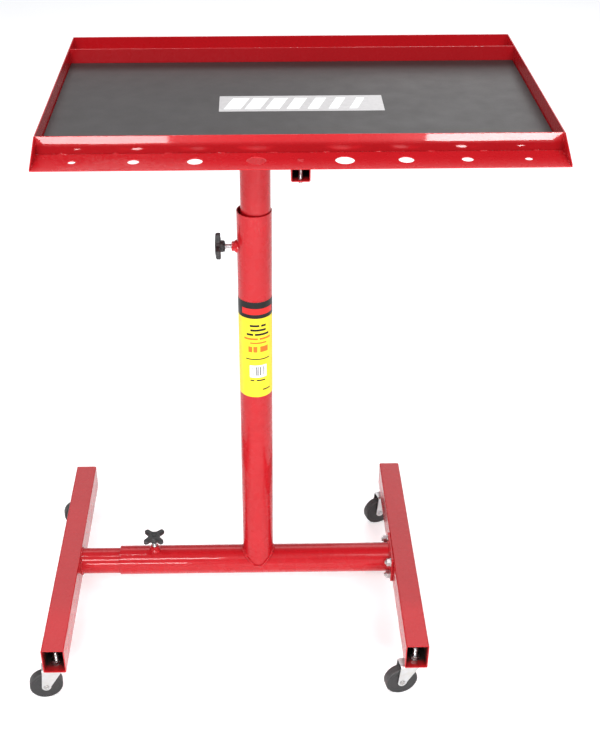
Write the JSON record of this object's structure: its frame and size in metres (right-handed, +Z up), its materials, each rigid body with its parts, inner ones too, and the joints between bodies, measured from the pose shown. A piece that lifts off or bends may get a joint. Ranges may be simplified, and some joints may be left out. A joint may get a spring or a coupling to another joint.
{
  "type": "rolling work table",
  "caption": "Height-adjustable rolling work table: shallow steel tray with mat, rear trough and tool-hole shelf on a telescoping post and sliding H base with casters.",
  "frame": {"origin": "middle of the object's outline, on the floor under the wheels", "axes": "+X along the tray to its right end, +Y from the tool shelf to the rear trough, +Z up along the post"},
  "size_m": [0.7963, 0.489, 0.9875],
  "materials": {
    "red_steel": "glossy powder coat",
    "zinc_steel": "bright zinc plate",
    "knobs": "satin moulded",
    "wheels": "hard rubber",
    "mat": "matte, finely grained",
    "mat_panel": "printed film",
    "label": "printed film"
  },
  "bodies": {
    "base": {"outer_post": "red_steel", "cross_tube": "red_steel", "post_weld": "red_steel", "post_screw_boss": "red_steel", "cross_screw_boss": "red_steel", "cross_flange": "red_steel", "right_foot": "red_steel", "flange_bolts": "zinc_steel", "flange_washers": "zinc_steel", "flange_nuts": "zinc_steel", "post_label": "label", "right_stem_nuts": "zinc_steel", "front_right_stem": "zinc_steel", "rear_right_stem": "zinc_steel"},
    "left_foot": {"inner_cross_tube": "red_steel", "left_foot": "red_steel", "left_foot_weld": "red_steel", "left_stem_nuts": "zinc_steel", "front_left_stem": "zinc_steel", "rear_left_stem": "zinc_steel"},
    "inner_post": {"inner_post": "red_steel"},
    "tray": {"post_cap_plate": "red_steel", "cross_rail": "red_steel", "tray_rail": "red_steel", "rail_bolts": "zinc_steel", "tray_pan": "red_steel", "left_end": "red_steel", "right_end": "red_steel", "rear_divider": "red_steel", "tool_shelf": "red_steel", "mat": "mat", "mat_panel": "mat_panel"},
    "post_screw": {"post_screw": "zinc_steel"},
    "post_knob": {"post_knob": "knobs"},
    "cross_screw": {"cross_screw": "zinc_steel"},
    "cross_knob": {"cross_knob": "knobs"},
    "caster_front_left": {"front_left_balls": "zinc_steel", "front_left_fork": "zinc_steel", "front_left_axle": "zinc_steel"},
    "wheel_front_left": {"front_left_wheel": "wheels"},
    "caster_front_right": {"front_right_balls": "zinc_steel", "front_right_fork": "zinc_steel", "front_right_axle": "zinc_steel"},
    "wheel_front_right": {"front_right_wheel": "wheels"},
    "caster_rear_left": {"rear_left_balls": "zinc_steel", "rear_left_fork": "zinc_steel", "rear_left_axle": "zinc_steel"},
    "wheel_rear_left": {"rear_left_wheel": "wheels"},
    "caster_rear_right": {"rear_right_balls": "zinc_steel", "rear_right_fork": "zinc_steel", "rear_right_axle": "zinc_steel"},
    "wheel_rear_right": {"rear_right_wheel": "wheels"}
  },
  "joints": [
    {"name": "foot_slide", "type": "slide", "parent": "base", "child": "left_foot", "axis": [-1, 0, 0], "range_m": [-0.06, 0.1]},
    {"name": "post_slide", "type": "slide", "parent": "base", "child": "inner_post", "axis": [0, 0, 1], "range_m": [-0.12, 0.232]},
    {"name": "tray_turn", "type": "hinge", "parent": "inner_post", "child": "tray", "pos_m": [-0.00566, 0, 0.9], "axis": [0, 0, 1], "continuous": true},
    {"name": "post_screw_travel", "type": "slide", "parent": "base", "child": "post_screw", "axis": [-1, 0, 0], "range_m": [0, 0.0063]},
    {"name": "post_knob_turn", "type": "hinge", "parent": "post_screw", "child": "post_knob", "pos_m": [-0.05786, 0, 0.738], "axis": [-1, 0, 0], "range_deg": [0, 1800]},
    {"name": "cross_screw_travel", "type": "slide", "parent": "base", "child": "cross_screw", "axis": [0, 0, 1], "range_m": [0, 0.0063]},
    {"name": "cross_knob_turn", "type": "hinge", "parent": "cross_screw", "child": "cross_knob", "pos_m": [-0.19536, 0, 0.1474], "axis": [0, 0, 1], "range_deg": [0, 1800]},
    {"name": "front_left_swivel", "type": "hinge", "parent": "left_foot", "child": "caster_front_left", "pos_m": [-0.34786, -0.222, 0.066], "axis": [0, 0, 1], "continuous": true},
    {"name": "front_left_roll", "type": "hinge", "parent": "caster_front_left", "child": "wheel_front_left", "pos_m": [-0.36952, -0.22582, 0.028], "axis": [-0.1736, 0.9848, 0], "continuous": true},
    {"name": "front_right_swivel", "type": "hinge", "parent": "base", "child": "caster_front_right", "pos_m": [0.25414, -0.222, 0.066], "axis": [0, 0, 1], "continuous": true},
    {"name": "front_right_roll", "type": "hinge", "parent": "caster_front_right", "child": "wheel_front_right", "pos_m": [0.23262, -0.22657, 0.028], "axis": [-0.2079, 0.9781, 0], "continuous": true},
    {"name": "rear_left_swivel", "type": "hinge", "parent": "left_foot", "child": "caster_rear_left", "pos_m": [-0.34786, 0.222, 0.066], "axis": [0, 0, 1], "continuous": true},
    {"name": "rear_left_roll", "type": "hinge", "parent": "caster_rear_left", "child": "wheel_rear_left", "pos_m": [-0.36938, 0.21743, 0.028], "axis": [-0.2079, 0.9781, 0], "continuous": true},
    {"name": "rear_right_swivel", "type": "hinge", "parent": "base", "child": "caster_rear_right", "pos_m": [0.25414, 0.222, 0.066], "axis": [0, 0, 1], "continuous": true},
    {"name": "rear_right_roll", "type": "hinge", "parent": "caster_rear_right", "child": "wheel_rear_right", "pos_m": [0.23347, 0.21448, 0.028], "axis": [-0.342, 0.9397, 0], "continuous": true}
  ],
  "couplings": [
    {"joint": "post_screw_travel", "follows": "post_knob_turn", "m_per_rad": 0.00019894},
    {"joint": "cross_screw_travel", "follows": "cross_knob_turn", "m_per_rad": 0.00019894}
  ]
}
